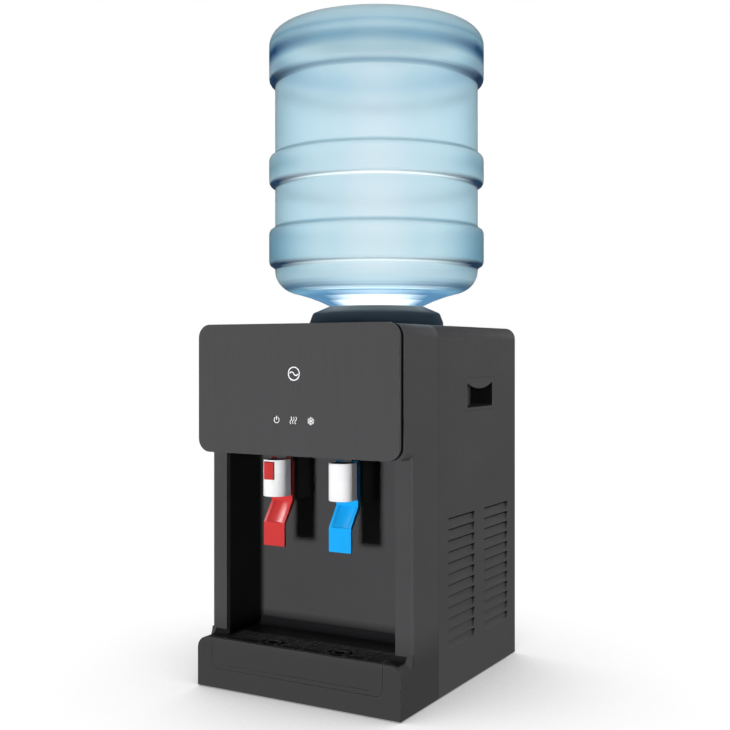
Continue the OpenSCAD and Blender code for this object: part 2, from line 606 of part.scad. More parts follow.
// serpentine with vertical wires, behind the rear panel
module condenser_coil() color("#202123") {
    for (i = [0 : 9]) cyl_x(330, 190 + 22 * i, -100, 100, 2.5);
    for (i = [0 : 8]) translate([i % 2 == 0 ? 100 : -100, 330, 201 + 22 * i]) rotate([90, 0, 0])
        intersection() {
            rotate_extrude() translate([11, 0]) circle(2.5);
            translate([i % 2 == 0 ? 0 : -20, -20, -5]) cube([20, 40, 10]);
        }
    for (x = [-92 : 8 : 92], s = [-1, 1]) cyl_z(x, 330 + s * 3.25, 182, 396, 0.7);
    // stand-offs to the rear panel
    for (x = [-96, 96], z = [190, 388]) cyl_y(x, z, rear_y + sheet, 330, 2);
}

// ---------- electrics ----------
module control_board() color("#1f5a38") {
    box(124, 125.6, 120, 172, 244, 330);
    box(113, 124, 128, 150, 296, 322);
    box(116, 124, 130, 160, 256, 276);
    cyl_x(162, 300, 112, 124, 5);
    for (y = [124, 168], z = [248, 326]) cyl_x(y, z, 125.6, hw - sheet, 2.2);
}
module switch_bezel() color(black) difference() {
    union() {
        run_y(rear_y + sheet, rear_y + sheet + 2) rrect(89, 102, 119, 162, 3);
        run_y(rear_y - 14, rear_y + sheet) rrect(92.3, 105.3, 115.7, 158.7, 1);
    }
    for (z = [118.5, 145.5]) run_y(rear_y - 12, rear_y + 5) translate([95.5, z - 11]) square([17, 22]);
}
// rocker standing in its "off" tilt
module rocker(z) translate([104, rear_y - 2, z]) rotate([8, 0, 0]) difference() {
    run_x(-8.2, 8.2) difference() {
        polygon([[-4, -6], [6.5, -10.2], [7.3, -9.6], [6.1, 0], [7.3, 9.6], [6.5, 10.2], [-4, 6]]);
        translate([23, 0]) circle(17);
    }
    cyl_x(0, 0, -9, 9, 1.56);
}
module hot_switch() color("#c8352f") rocker(145.5);
module cold_switch() color("#2f9a4c") rocker(118.5);
module switch_pins(z) cyl_x(rear_y - 2, z, 95.5, 112.5, 1.5);
module cord_gland() color(black) difference() {
    union() {
        cyl_y(-110, 45, rear_y - 5, rear_y - 0.2, 10.5);
        cyl_y(-110, 45, rear_y - 0.2, rear_y + sheet, 8);
        cyl_y(-110, 45, rear_y + sheet, rear_y + sheet + 3, 10.5);
        translate([-110, rear_y + sheet + 3, 45]) rotate([-90, 0, 0]) cylinder(h = 18, r1 = 7.6, r2 = 5.4);
    }
    cyl_y(-110, 45, rear_y - 6, 345, 3.5);
}

// ---------- taps ----------
// D-shaped outline seen from above: half round in front, straight sides behind
module dee(r, back) {
    intersection() { circle(r); translate([-r - 1, -r - 1]) square([2 * r + 2, r + 1 + min(back, r)]); }
    translate([-r, 0]) square([2 * r, back]);
}
module tap_body() difference() {
    union() {
        // block on the alcove wall, arm to the lever pivot, neck to the valve barrel
        run_y(tap_y + 34, alc_y) translate([0, 0]) rrect(-10, 236, 10, 296.8, 2);
        box(-6.8, 6.8, tap_y + 12.5, tap_y + 35, 283, 293);
        box(-5.5, 5.5, tap_y + 6, tap_y + 35, 264, 276);
        translate([0, tap_y, 0]) cyl_z(0, 0, 247, 277, 9);
        // shank, nut and hose spigot behind the wall
        cyl_y(0, 270, alc_y, 120, 7);
        cyl_y(0, 270, alc_y + 2.7, alc_y + 6.5, 9.8);
    }
    translate([0, tap_y, 0]) {
        cyl_z(0, 0, 246, 266, 6.5);
        cyl_z(0, 0, 265, 274, 4);
        cyl_z(0, 0, 273, 278, 2.06);
    }
    cyl_y(0, 270, tap_y, 121, 3);
    cyl_x(tap_y + 16, 288, -8, 8, 1.5);
}
module tap_sleeve(window) translate([0, tap_y, 0]) difference() {
    union() {
        run_z(sleeve_z0, sleeve_z1) difference() { dee(sleeve_r, 10); dee(sleeve_r - 1.5, 11); }
        // ribs that locate the sleeve on the valve barrel
        for (s = [-1, 1]) box(s > 0 ? 9.02 : -sleeve_r + 1, s > 0 ? sleeve_r - 1 : -9.02, -1, 1, 248, 270);
    }
    if (window) box(-7.1, 7.1, -sleeve_r - 2, -8, 265.7, 288);
}
// paddle lever: D-shaped cap in the sleeve, forked plate, forward slope with a scoop, upright pad
module tap_lever() difference() {
    union() {
        run_z(285.6, 289.8) translate([0, tap_y]) dee(11.5, 14);
        box(-sleeve_r, sleeve_r, tap_y + 13.5, tap_y + 18.5, 233, 291.5);
        run_x(-sleeve_r, sleeve_r) polygon([[tap_y + 13.5, 236.5], [tap_y - 4, 211.5], [tap_y - 4, pad_z0], [tap_y - 0.4, pad_z0],
            [tap_y - 0.4, 209.8], [tap_y + 18.5, 234], [tap_y + 18.5, 236.5]]);
    }
    box(-7.2, 7.2, tap_y + 11, tap_y + 20, 257, 300);
    cyl_x(tap_y + 16, 288, -20, 20, 1.56);
    // scoop along the slope
    intersection() {
        translate([0, tap_y + 13.5, 236.5]) rotate([-atan2(17.5, 25), 0, 0]) translate([0, -27.6, -40]) cylinder(h = 60, r = 30);
        box(-20, 20, 0, 60, 211.6, 236.5);
    }
}
module valve_stem() translate([0, tap_y, 0]) {
    cyl_z(0, 0, 262, 283.6, 2);
    cyl_z(0, 0, 261.4, 265.8, 5.6);
    cyl_z(0, 0, 283.5, 284.4, 4.6);
    cyl_z(0, 0, 284.3, 285, 1.6);
}
module stem_spring() translate([0, tap_y, 0]) for (i = [0 : 3]) translate([0, 0, 277.75 + 1.7 * i])
    rotate_extrude() translate([3.2, 0]) circle(0.5);
module hot_tap_body() color(black) translate([-tap_x, 0, 0]) tap_body();
module cold_tap_body() color(black) translate([tap_x, 0, 0]) tap_body();
module hot_tap_sleeve() color("#dcdde0") translate([-tap_x, 0, 0]) tap_sleeve(true);
module cold_tap_sleeve() color("#dcdde0") translate([tap_x, 0, 0]) tap_sleeve(false);
module hot_tap_lever() color("#d42a2a") translate([-tap_x, 0, 0]) tap_lever();
module cold_tap_lever() color("#149ff0") translate([tap_x, 0, 0]) tap_lever();
module hot_valve_stem() color("#b5b8bb") translate([-tap_x, 0, 0]) valve_stem();
module cold_valve_stem() color("#b5b8bb") translate([tap_x, 0, 0]) valve_stem();
module hot_stem_spring() color("#a7aaad") translate([-tap_x, 0, 0]) stem_spring();
module cold_stem_spring() color("#a7aaad") translate([tap_x, 0, 0]) stem_spring();
// curved button in the window of the hot sleeve, with a stub that stops on the valve barrel
module child_lock_button() color("#d42a2a") translate([-tap_x, tap_y, 0]) {
    run_z(266, 287.7) intersection() {
        difference() { circle(sleeve_r + 2); circle(sleeve_r - 1.2); }
        translate([-6.8, -30]) square([13.6, 30]);
    }
    box(-2.5, 2.5, -15, -11.6, 268, 276);
}
module lever_pins() color("#b5b8bb") for (x = [-tap_x, tap_x]) cyl_x(tap_y + 16, 288, x - 14.5, x + 14.5, 1.5);

// ---------- drip tray ----------
module tray_front() color(charcoal) difference() {
    union() {
        run_y(0, wall) rbot(tray_x0, tray_z0, tray_x1, base_z, 10);
        box(tray_x0 + 0.4, tray_x1 - 0.4, wall - 0.1, 5.8, base_z - wall, base_z);
    }
    // fine finger groove above the lower edge
    box(-105, 103, -1, 0.7, 31.6, 32.4);
}
module drip_tray() color(black) {
    difference() {
        run_y(6, grille_y1) rrect(-grille_hw + 0.5, 26.5, grille_hw - 0.5, 70, 5);
        run_y(8, grille_y1 - 2) rrect(-grille_hw + 2.5, 28.5, grille_hw - 2.5, 75, 3);
        box(-130, 130, 0, 70, 57.5, 80);
    }
    for (x = [-70, 0, 70]) cyl_y(x, 45, wall, 6.1, 4);
}
module grille_flat() {
    difference() {
        translate([-grille_hw, 6]) square([2 * grille_hw, grille_y1 - 6]);
        translate([-grille_hw + 3, 8.6]) square([2 * grille_hw - 6, grille_y1 - 6 - 5.2]);
    }
    difference() {
        union() {
            for (i = [1 : slats - 1]) translate([-grille_hw + 2, 6 + i * (grille_y1 - 6) / slats - 1.1]) square([2 * grille_hw - 4, 2.2]);
            for (x = [-90 : 30 : 90]) translate([x - 1, 7]) square([2, grille_y1 - 8]);
        }
        for (x = [-49, 49]) translate([x, 28.5]) circle(19);
    }
    // round targets under the taps
    for (x = [-49, 49]) translate([x, 28.5]) {
        difference() {
            union() {
                difference() { circle(19.5); circle(16.6); }
                difference() { circle(11); circle(8.2); }
                for (a = [45 : 90 : 315]) rotate(a) translate([9.5, -1.6]) square([8.5, 3.2]);
            }
            for (a = [0 : 90 : 270]) rotate(a) translate([14, -2.2]) square([1.4, 4.4]);
        }
    }
}
module drip_grille() color(black) difference() {
    union() {
        run_z(deck_z - 2.6, deck_z) grille_flat();
        // keel under the frame
        run_z(57.8, deck_z - 2.5) difference() {
            translate([-grille_hw + 0.5, 6]) square([2 * grille_hw - 1, grille_y1 - 6]);
            translate([-grille_hw + 2.4, 8]) square([2 * grille_hw - 4.8, grille_y1 - 10]);
        }
    }
}

placed() base_pan();
placed() rubber_feet();
placed() front_frame();
placed() alcove_liner();
placed() tray_deck();
placed() front_panel();
placed() indicator_lenses();
placed() indicator_board();
placed() left_side_panel();
placed() right_side_panel();
placed() left_hand_hold();
placed() right_hand_hold();
placed() top_cover();
placed() rear_panel();
placed() case_screws();
placed() bottle_collar();
placed() seat_funnel();
placed() feed_spike();
placed() seat_gasket();
placed() water_bottle();
placed() bottle_cap();
placed() cold_tank();
placed() cold_tank_lid();
placed() tank_insulation();
placed() tank_shelf();
placed() baffle_disc();
placed() evaporator_coil();
placed() hot_tank();
placed() heater_band();
placed() thermostat_discs();
placed() outlet_hoses();
placed() hot_feed_hose();
placed() drain_hose();
placed() drain_outlet();
placed() drain_cap();
placed() compressor();
placed() compressor_grommets();
placed() relay_box();
placed() filter_drier();
placed() condenser_coil();
placed() control_board();
placed() { switch_bezel(); for (z = [118.5, 145.5]) color(black) switch_pins(z); }
placed() hot_switch();
placed() cold_switch();
placed() cord_gland();
placed() hot_tap_body();
placed() hot_tap_sleeve();
placed() hot_tap_lever();
placed() hot_valve_stem();
placed() hot_stem_spring();
placed() child_lock_button();
placed() cold_tap_body();
placed() cold_tap_sleeve();
placed() cold_tap_lever();
placed() cold_valve_stem();
placed() cold_stem_spring();
placed() lever_pins();
placed() tray_front();
placed() drip_tray();
placed() drip_grille();
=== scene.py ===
import math
import bpy
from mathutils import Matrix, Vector


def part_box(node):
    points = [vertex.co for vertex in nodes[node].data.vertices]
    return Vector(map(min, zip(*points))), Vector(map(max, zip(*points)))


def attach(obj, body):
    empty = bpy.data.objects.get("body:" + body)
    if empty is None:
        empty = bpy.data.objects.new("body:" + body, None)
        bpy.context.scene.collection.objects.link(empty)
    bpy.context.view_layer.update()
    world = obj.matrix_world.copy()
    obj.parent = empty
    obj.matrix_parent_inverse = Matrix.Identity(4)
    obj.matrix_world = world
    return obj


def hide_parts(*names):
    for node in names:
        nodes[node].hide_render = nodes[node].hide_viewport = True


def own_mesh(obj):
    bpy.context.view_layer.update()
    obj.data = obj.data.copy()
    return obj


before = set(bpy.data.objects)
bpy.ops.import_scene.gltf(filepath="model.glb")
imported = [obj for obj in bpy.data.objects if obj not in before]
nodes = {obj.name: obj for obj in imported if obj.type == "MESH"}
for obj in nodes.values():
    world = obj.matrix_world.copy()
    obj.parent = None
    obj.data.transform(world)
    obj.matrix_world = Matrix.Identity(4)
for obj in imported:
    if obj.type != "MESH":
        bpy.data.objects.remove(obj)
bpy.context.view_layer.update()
scene = bpy.context.scene

# ---------------------------------------------------------------- camera
cam_data = bpy.data.cameras.new("camera")
cam_data.sensor_width = 36.0
cam_data.lens = 54.065
cam_data.shift_y = -0.0162
cam_data.clip_end = 60.0
cam = bpy.data.objects.new("camera", cam_data)
cam.location = (0.73246, -1.27956, 0.42273)
cam.rotation_euler = (math.radians(90), 0, math.radians(29.832))
scene.collection.objects.link(cam)
scene.camera = cam

scene.view_settings.view_transform = "Standard"
scene.view_settings.look = "None"


# ---------------------------------------------------------------- node helpers
class Tree:
    """A small helper that adds nodes and links to a material or world tree."""

    def __init__(self, owner):
        owner.use_nodes = True
        self.t = owner.node_tree
        self.t.nodes.clear()

    def add(self, kind, **settings):
        n = self.t.nodes.new(kind)
        for k, v in settings.items():
            setattr(n, k, v)
        return n

    def link(self, a, b):
        self.t.links.new(a, b)

    def coords(self, scale=(1, 1, 1)):
        tc = self.add("ShaderNodeTexCoord")
        m = self.add("ShaderNodeMapping")
        m.inputs["Scale"].default_value = scale
        self.link(tc.outputs["Object"], m.inputs["Vector"])
        return m.outputs["Vector"]

    def noise(self, vector, scale, detail=3.0, rough=0.5):
        n = self.add("ShaderNodeTexNoise")
        n.inputs["Scale"].default_value = scale
        n.inputs["Detail"].default_value = detail
        n.inputs["Roughness"].default_value = rough
        self.link(vector, n.inputs["Vector"])
        return n.outputs["Fac"]

    def spread(self, value, lo, hi, a=0.3, b=0.7):
        m = self.add("ShaderNodeMapRange")
        m.inputs["From Min"].default_value = a
        m.inputs["From Max"].default_value = b
        m.inputs["To Min"].default_value = lo
        m.inputs["To Max"].default_value = hi
        self.link(value, m.inputs["Value"])
        return m.outputs["Result"]

    def blend(self, factor, one, two):
        m = self.add("ShaderNodeMix", data_type="RGBA")
        m.inputs["A"].default_value = (*one, 1)
        m.inputs["B"].default_value = (*two, 1)
        # the colour sockets of the Mix node are its 7th and 8th inputs
        m.inputs[6].default_value = (*one, 1)
        m.inputs[7].default_value = (*two, 1)
        self.link(factor, m.inputs[0])
        return m.outputs[2]

    def bump(self, height, distance, strength=1.0, after=None):
        b = self.add("ShaderNodeBump")
        b.inputs["Distance"].default_value = distance
        b.inputs["Strength"].default_value = strength
        self.link(height, b.inputs["Height"])
        if after is not None:
            self.link(after, b.inputs["Normal"])
        return b.outputs["Normal"]


def surface(name, base, rough, vary=0.08, rough_vary=0.05, grain=1800.0, depth=0.00002,
            metallic=0.0, specular=0.5, coat=0.0, coat_rough=0.1, ior=1.5,
            stretch=(1, 1, 1), sheen=0.0, waves=0.0):
    """A moulded, painted or drawn surface: colour and gloss that drift a little, and a fine grain."""
    m = bpy.data.materials.new(name)
    t = Tree(m)
    out = t.add("ShaderNodeOutputMaterial")
    p = t.add("ShaderNodeBsdfPrincipled")
    t.link(p.outputs["BSDF"], out.inputs["Surface"])
    p.inputs["Metallic"].default_value = metallic
    p.inputs["Specular IOR Level"].default_value = specular
    p.inputs["IOR"].default_value = ior
    p.inputs["Coat Weight"].default_value = coat
    p.inputs["Coat Roughness"].default_value = coat_rough
    p.inputs["Sheen Weight"].default_value = sheen
    v = t.coords(stretch)
    drift = t.noise(v, 9.0, 4.0)
    lo = tuple(c * (1 - vary) for c in base)
    hi = tuple(min(1.0, c * (1 + vary)) for c in base)
    t.link(t.blend(t.spread(drift, 0.0, 1.0), lo, hi), p.inputs["Base Color"])
    cloud = t.noise(v, 31.0, 5.0, 0.6)
    t.link(t.spread(cloud, max(0.02, rough - rough_vary), min(1.0, rough + rough_vary)), p.inputs["Roughness"])
    normal = t.bump(t.noise(v, grain, 2.0), depth)
    if waves:
        normal = t.bump(t.noise(v, 26.0, 1.0), waves, after=normal)
    t.link(normal, p.inputs["Normal"])
    return m


M = {}
M["shell_plastic"] = surface("shell_plastic", (0.060, 0.060, 0.062), 0.50, specular=0.18, vary=0.04, grain=2200, depth=0.000010)
M["fascia_plastic"] = surface("fascia_plastic", (0.064, 0.064, 0.066), 0.42, specular=0.25, vary=0.04, stretch=(60, 60, 1),
                              grain=40, depth=0.0000008, rough_vary=0.03)
M["side_steel"] = surface("side_steel", (0.058, 0.058, 0.060), 0.48, specular=0.20, vary=0.04, grain=1500, depth=0.000008, waves=0.00006)
M["black_plastic"] = surface("black_plastic", (0.058, 0.058, 0.060), 0.42, specular=0.25, grain=2000, depth=0.00001)
M["deck_plastic"] = surface("deck_plastic", (0.010, 0.010, 0.011), 0.34, specular=0.30, grain=2000, depth=0.00001)
M["grille_plastic"] = surface("grille_plastic", (0.040, 0.040, 0.041), 0.34, specular=0.35, grain=2000, depth=0.00001)
M["rubber"] = surface("rubber", (0.018, 0.018, 0.018), 0.75, grain=1200, depth=0.00004, vary=0.2)
M["white_lens"] = surface("white_lens", (0.86, 0.87, 0.88), 0.35, grain=3000, depth=0.000005, vary=0.02)
M["circuit_board"] = surface("circuit_board", (0.02, 0.12, 0.05), 0.4, grain=900, depth=0.00003)
M["zinc_sheet"] = surface("zinc_sheet", (0.42, 0.43, 0.45), 0.42, metallic=1.0, grain=260, depth=0.00002, vary=0.12, rough_vary=0.12)
M["screw_steel"] = surface("screw_steel", (0.55, 0.55, 0.57), 0.3, metallic=1.0, grain=900, depth=0.00001)
M["collar_plastic"] = surface("collar_plastic", (0.015, 0.023, 0.032), 0.34, specular=0.04, grain=1500, depth=0.000003)
M["seat_plastic"] = surface("seat_plastic", (0.02, 0.022, 0.026), 0.3, grain=1500, depth=0.00001)
M["silicone"] = surface("silicone", (0.58, 0.6, 0.62), 0.6, grain=1200, depth=0.00003)
M["cap_plastic"] = surface("cap_plastic", (0.03, 0.13, 0.45), 0.35, grain=1500, depth=0.00001)
M["tank_steel"] = surface("tank_steel", (0.55, 0.56, 0.58), 0.26, metallic=1.0, stretch=(8, 8, 200), grain=30, depth=0.00001)
M["white_plastic"] = surface("white_plastic", (0.74, 0.74, 0.72), 0.45, grain=1500, depth=0.00002, vary=0.03)
M["foam"] = surface("foam", (0.84, 0.84, 0.82), 0.85, grain=260, depth=0.0008, vary=0.05)
M["copper"] = surface("copper", (0.72, 0.36, 0.2), 0.3, metallic=1.0, grain=700, depth=0.00002, vary=0.15, rough_vary=0.1)
M["mica_band"] = surface("mica_band", (0.12, 0.13, 0.15), 0.35, metallic=0.9, grain=500, depth=0.00002)
M["hose"] = surface("hose", (0.66, 0.69, 0.71), 0.4, grain=900, depth=0.00002, vary=0.04)
M["black_steel"] = surface("black_steel", (0.015, 0.015, 0.017), 0.28, grain=700, depth=0.00002, coat=0.3)
M["red_plastic"] = surface("red_plastic", (0.52, 0.038, 0.038), 0.4, specular=0.4, grain=2000, depth=0.000008, vary=0.04)
M["blue_plastic"] = surface("blue_plastic", (0.009, 0.345, 0.80), 0.4, specular=0.4, grain=2000, depth=0.000008, vary=0.04)
M["green_plastic"] = surface("green_plastic", (0.02, 0.3, 0.07), 0.35, grain=1800, depth=0.00001)
M["sleeve_silver"] = surface("sleeve_silver", (0.88, 0.88, 0.89), 0.34, metallic=0.15, specular=0.4, stretch=(1, 1, 60), grain=60, depth=0.000002, vary=0.02)


def reopen(m):
    """The tree of a finished surface, its shader, its colour and its place on the object."""
    t = Tree.__new__(Tree)
    t.t = m.node_tree
    p = [n for n in t.t.nodes if n.type == "BSDF_PRINCIPLED"][0]
    where = t.add("ShaderNodeSeparateXYZ")
    t.link(t.coords(), where.inputs["Vector"])
    return t, p, p.inputs["Base Color"].links[0].from_socket, where


def darken(t, p, colour, keep, dark):
    x = t.add("ShaderNodeMix", data_type="RGBA")
    x.inputs[6].default_value = (*dark, 1)
    t.link(keep, x.inputs[0])
    t.link(colour, x.inputs[7])
    t.link(x.outputs[2], p.inputs["Base Color"])
    return x.outputs[2]


# painted shade: the moulded shell is darker towards the bottom, in its base box, standing in for less light falling
# there
t, p, colour, where = reopen(M["shell_plastic"])
darken(t, p, colour, t.spread(where.outputs["Z"], 0.0, 1.0, 0.055, 0.095), (0.042, 0.042, 0.043))

# the levers run into shadow above their pivots, inside the head
for key, deep in (("red_plastic", (0.10, 0.006, 0.008)), ("blue_plastic", (0.002, 0.06, 0.13))):
    t, p, colour, where = reopen(M[key])
    darken(t, p, colour, t.spread(where.outputs["Z"], 1.0, 0.0, 0.2868, 0.2884), deep)

# the alcove lining is charcoal, with painted shade darkening it towards its side walls and a painted shadow where it
# meets the deck
M["liner_plastic"] = surface("liner_plastic", (0.060, 0.060, 0.062), 0.50, specular=0.16, vary=0.04, grain=2200, depth=0.000010)
t, p, colour, where = reopen(M["liner_plastic"])
# painted shade: darker towards the side walls of the alcove
side = t.add("ShaderNodeMath", operation="ABSOLUTE")
t.link(where.outputs["X"], side.inputs[0])
colour = darken(t, p, colour, t.spread(side.outputs[0], 1.0, 0.0, 0.1135, 0.1192), (0.014, 0.014, 0.0145))
# painted shadow: near black along the foot, where the lining meets the deck
darken(t, p, colour, t.spread(where.outputs["Z"], 0.0, 1.0, 0.067, 0.083), (0.003, 0.003, 0.003))


def ramp(t, value, stops):
    """A colour ramp over height in millimetres."""
    if len(stops) > 30:
        k = 24
        above = t.add("ShaderNodeMath", operation="GREATER_THAN")
        t.link(value, above.inputs[0])
        above.inputs[1].default_value = stops[k][0] / 1000
        x = t.add("ShaderNodeMix", data_type="RGBA")
        t.link(above.outputs[0], x.inputs[0])
        t.link(ramp(t, value, stops[:k + 1]), x.inputs[6])
        t.link(ramp(t, value, stops[k:]), x.inputs[7])
        return x.outputs[2]
    lo, hi = stops[0][0], stops[-1][0]
    r = t.add("ShaderNodeValToRGB")
    t.link(t.spread(value, 0.0, 1.0, lo / 1000, hi / 1000), r.inputs["Fac"])
    e = r.color_ramp.elements
    while len(e) < len(stops):
        e.new(0.5)
    for k, (z, c) in enumerate(stops):
        e[k].position = (z - lo) / (hi - lo)
        e[k].color = (*c, 1)
    return r.outputs["Color"]


def bottle_material():
    """Blue-tinted clear plastic full of water: a soft glass that is deeper blue at its edges and in the steps of its
    ribs, partly the tint of thicker plastic and partly painted shade and reflection, with painted highlights along two
    rib steps and at its centre, and a painted glow in the cone above the collar.
    """
    m = bpy.data.materials.new("bottle_plastic")
    t = Tree(m)
    out = t.add("ShaderNodeOutputMaterial")
    p = t.add("ShaderNodeBsdfPrincipled")
    t.link(p.outputs["BSDF"], out.inputs["Surface"])
    p.inputs["Transmission Weight"].default_value = 1.0
    p.inputs["IOR"].default_value = 1.22
    p.inputs["Coat Weight"].default_value = 0.1
    p.inputs["Coat Roughness"].default_value = 0.06
    v = t.coords()
    z = t.add("ShaderNodeSeparateXYZ")
    t.link(v, z.inputs["Vector"])
    body = (0.77, 0.90, 0.955)
    side = (0.68, 0.90, 0.99)
    navy = (0.001, 0.015, 0.07)
    # colour seen straight on, over height: the white in the cone and along two rib steps is painted highlight, the
    # darker bands at the rib steps and neck are painted shade
    middle = ramp(t, z.outputs["Z"], [
        (420, (0.95, 0.99, 1.0)), (497, (0.95, 0.99, 1.0)), (507, (0.76, 0.89, 0.94)), (535, body),
        (537, (0.95, 1.0, 1.0)), (541, (0.95, 1.0, 1.0)), (543, (0.74, 0.88, 0.93)), (575, (0.74, 0.88, 0.93)),
        (588, body), (591, (0.62, 0.74, 0.80)), (594, body),
        (645, body), (646, (0.96, 1.0, 1.0)), (650, (0.96, 1.0, 1.0)), (652, body), (668, (0.73, 0.86, 0.91)),
        (686, body), (690, (0.62, 0.74, 0.79)), (693, body),
        (784, body), (786, (0.44, 0.60, 0.70)), (790, (0.60, 0.76, 0.84)), (793, body),
        (808, (0.76, 0.89, 0.94)), (815, (0.50, 0.69, 0.80)), (820, (0.38, 0.59, 0.73)), (825, (0.48, 0.67, 0.78)),
        (830, (0.66, 0.82, 0.89)), (834, (0.58, 0.76, 0.85)), (837, (0.44, 0.64, 0.76)), (841, (0.64, 0.80, 0.87)), (848, (0.74, 0.87, 0.92)), (860, (0.80, 0.90, 0.93))])
    # colour towards the edges, over height: the dark cone and the navy at the rib steps are painted shade and
    # reflection, the deeper blue elsewhere is partly the tint of thicker plastic
    edge = ramp(t, z.outputs["Z"], [
        (420, (0.008, 0.04, 0.11)), (500, (0.008, 0.04, 0.11)), (510, (0.06, 0.20, 0.36)), (520, side),
        (534, side), (536, navy), (542, navy), (545, (0.30, 0.56, 0.70)), (575, (0.30, 0.56, 0.70)),
        (588, (0.46, 0.68, 0.78)), (591, (0.24, 0.42, 0.54)), (594, side),
        (643, side), (645, navy), (651, navy), (654, side), (668, (0.38, 0.62, 0.73)),
        (686, side), (690, (0.36, 0.54, 0.64)), (693, side),
        (782, side), (784, navy), (791, navy), (795, side),
        (806, side), (813, (0.10, 0.28, 0.48)), (818, (0.008, 0.05, 0.18)), (824, (0.008, 0.06, 0.20)), (829, (0.12, 0.32, 0.48)),
        (834, (0.42, 0.66, 0.78)), (838, (0.30, 0.52, 0.64)), (843, (0.55, 0.77, 0.86)), (860, (0.74, 0.87, 0.92))])
    facing = t.add("ShaderNodeLayerWeight")
    facing.inputs["Blend"].default_value = 0.5
    bend = facing.outputs["Facing"]
    mix = t.add("ShaderNodeMix", data_type="RGBA")
    t.link(t.spread(bend, 0.0, 1.0, 0.16, 0.68), mix.inputs[0])
    t.link(middle, mix.inputs[6])
    t.link(edge, mix.inputs[7])
    # painted highlight: a lighter stripe where the bottle is seen straight on
    lift = t.add("ShaderNodeMix", data_type="RGBA", blend_type="SCREEN")
    t.link(t.spread(bend, 0.45, 0.0, 0.0, 0.07), lift.inputs[0])
    t.link(mix.outputs[2], lift.inputs[6])
    lift.inputs[7].default_value = (0.8, 0.8, 0.9, 1)
    t.link(lift.outputs[2], p.inputs["Base Color"])
    # painted light: emission makes the cone above the collar glow, and paints highlights along two rib steps
    low = t.spread(z.outputs["Z"], 1.0, 0.0, 0.503, 0.509)
    open_side = t.spread(bend, 1.0, 0.0, 0.62, 0.74)
    cone = t.add("ShaderNodeMath", operation="MULTIPLY")
    t.link(low, cone.inputs[0])
    t.link(open_side, cone.inputs[1])
    steps = ramp(t, z.outputs["Z"], [
        (530, (0, 0, 0)), (538.4, (0, 0, 0)), (539.4, (0.8, 0.8, 0.8)), (540.2, (0.8, 0.8, 0.8)), (541, (0, 0, 0)),
        (647.2, (0, 0, 0)), (648.2, (0.9, 0.9, 0.9)), (649.2, (0.9, 0.9, 0.9)), (650, (0, 0, 0)), (700, (0, 0, 0))])
    narrow = t.spread(bend, 1.0, 0.0, 0.22, 0.34)
    glint = t.add("ShaderNodeMath", operation="MULTIPLY")
    t.link(steps, glint.inputs[0])
    t.link(narrow, glint.inputs[1])
    both = t.add("ShaderNodeMath", operation="MAXIMUM")
    t.link(cone.outputs[0], both.inputs[0])
    t.link(glint.outputs[0], both.inputs[1])
    t.link(t.blend(both.outputs[0], (0.0, 0.0, 0.0), (0.88, 1.0, 1.0)), p.inputs["Emission Color"])
    p.inputs["Emission Strength"].default_value = 0.75
    t.link(t.spread(t.noise(v, 14.0, 3.0), 0.32, 0.38), p.inputs["Roughness"])
    t.link(t.bump(t.noise(t.coords((1, 1, 0.35)), 12.0, 0.0), 0.00003), p.inputs["Normal"])
    return m


M["bottle_plastic"] = bottle_material()

for name, o in nodes.items():
    for i, m in enumerate(o.data.materials):
        key = m.name.split(".")[0]
        if name in ("tray_deck", "drip_tray", "drip_grille"):
            key = "deck_plastic"
        if name == "drip_grille":
            key = "grille_plastic"
        if name == "alcove_liner":
            key = "liner_plastic"
        o.data.materials[i] = M[key]

# ---------------------------------------------------------------- springs
def spring(name, node):
    """The valve spring as a real coil with closed ends."""
    low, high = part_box(node)
    cx, cy = (low[0] + high[0]) / 2, (low[1] + high[1]) / 2
    wire = 0.0005
    coil = (high[0] - low[0]) / 2 - wire
    z0, z1 = low[2] + wire, high[2] - wire
    verts, faces = [], []
    steps, around = 150, 10
    for i in range(steps + 1):
        u = i / steps
        turn = u * 5.0 * 2 * math.pi
        rise = min(1.0, max(0.0, (u - 0.14) / 0.72))
        mid = Vector((cx + coil * math.cos(turn), cy + coil * math.sin(turn), z0 + (z1 - z0) * rise))
        outward = Vector((math.cos(turn), math.sin(turn), 0))
        for k in range(around):
            a = 2 * math.pi * k / around
            verts.append(mid + outward * (wire * math.cos(a)) + Vector((0, 0, wire * math.sin(a))))
    for i in range(steps):
        for k in range(around):
            a, b = i * around + k, i * around + (k + 1) % around
            faces.append((a, b, b + around, a + around))
    faces.append(tuple(range(around)))
    faces.append(tuple(range(steps * around + around - 1, steps * around - 1, -1)))
    mesh = bpy.data.meshes.new(name)
    mesh.from_pydata(verts, [], faces)
    mesh.update()
    for f in mesh.polygons:
        f.use_smooth = len(f.vertices) == 4
    mesh.materials.append(M["screw_steel"])
    o = bpy.data.objects.new(name, mesh)
    scene.collection.objects.link(o)
    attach(o, "cabinet")
    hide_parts(node)
    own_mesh(o)


spring("hot_spring_coil", "hot_stem_spring")
spring("cold_spring_coil", "cold_stem_spring")

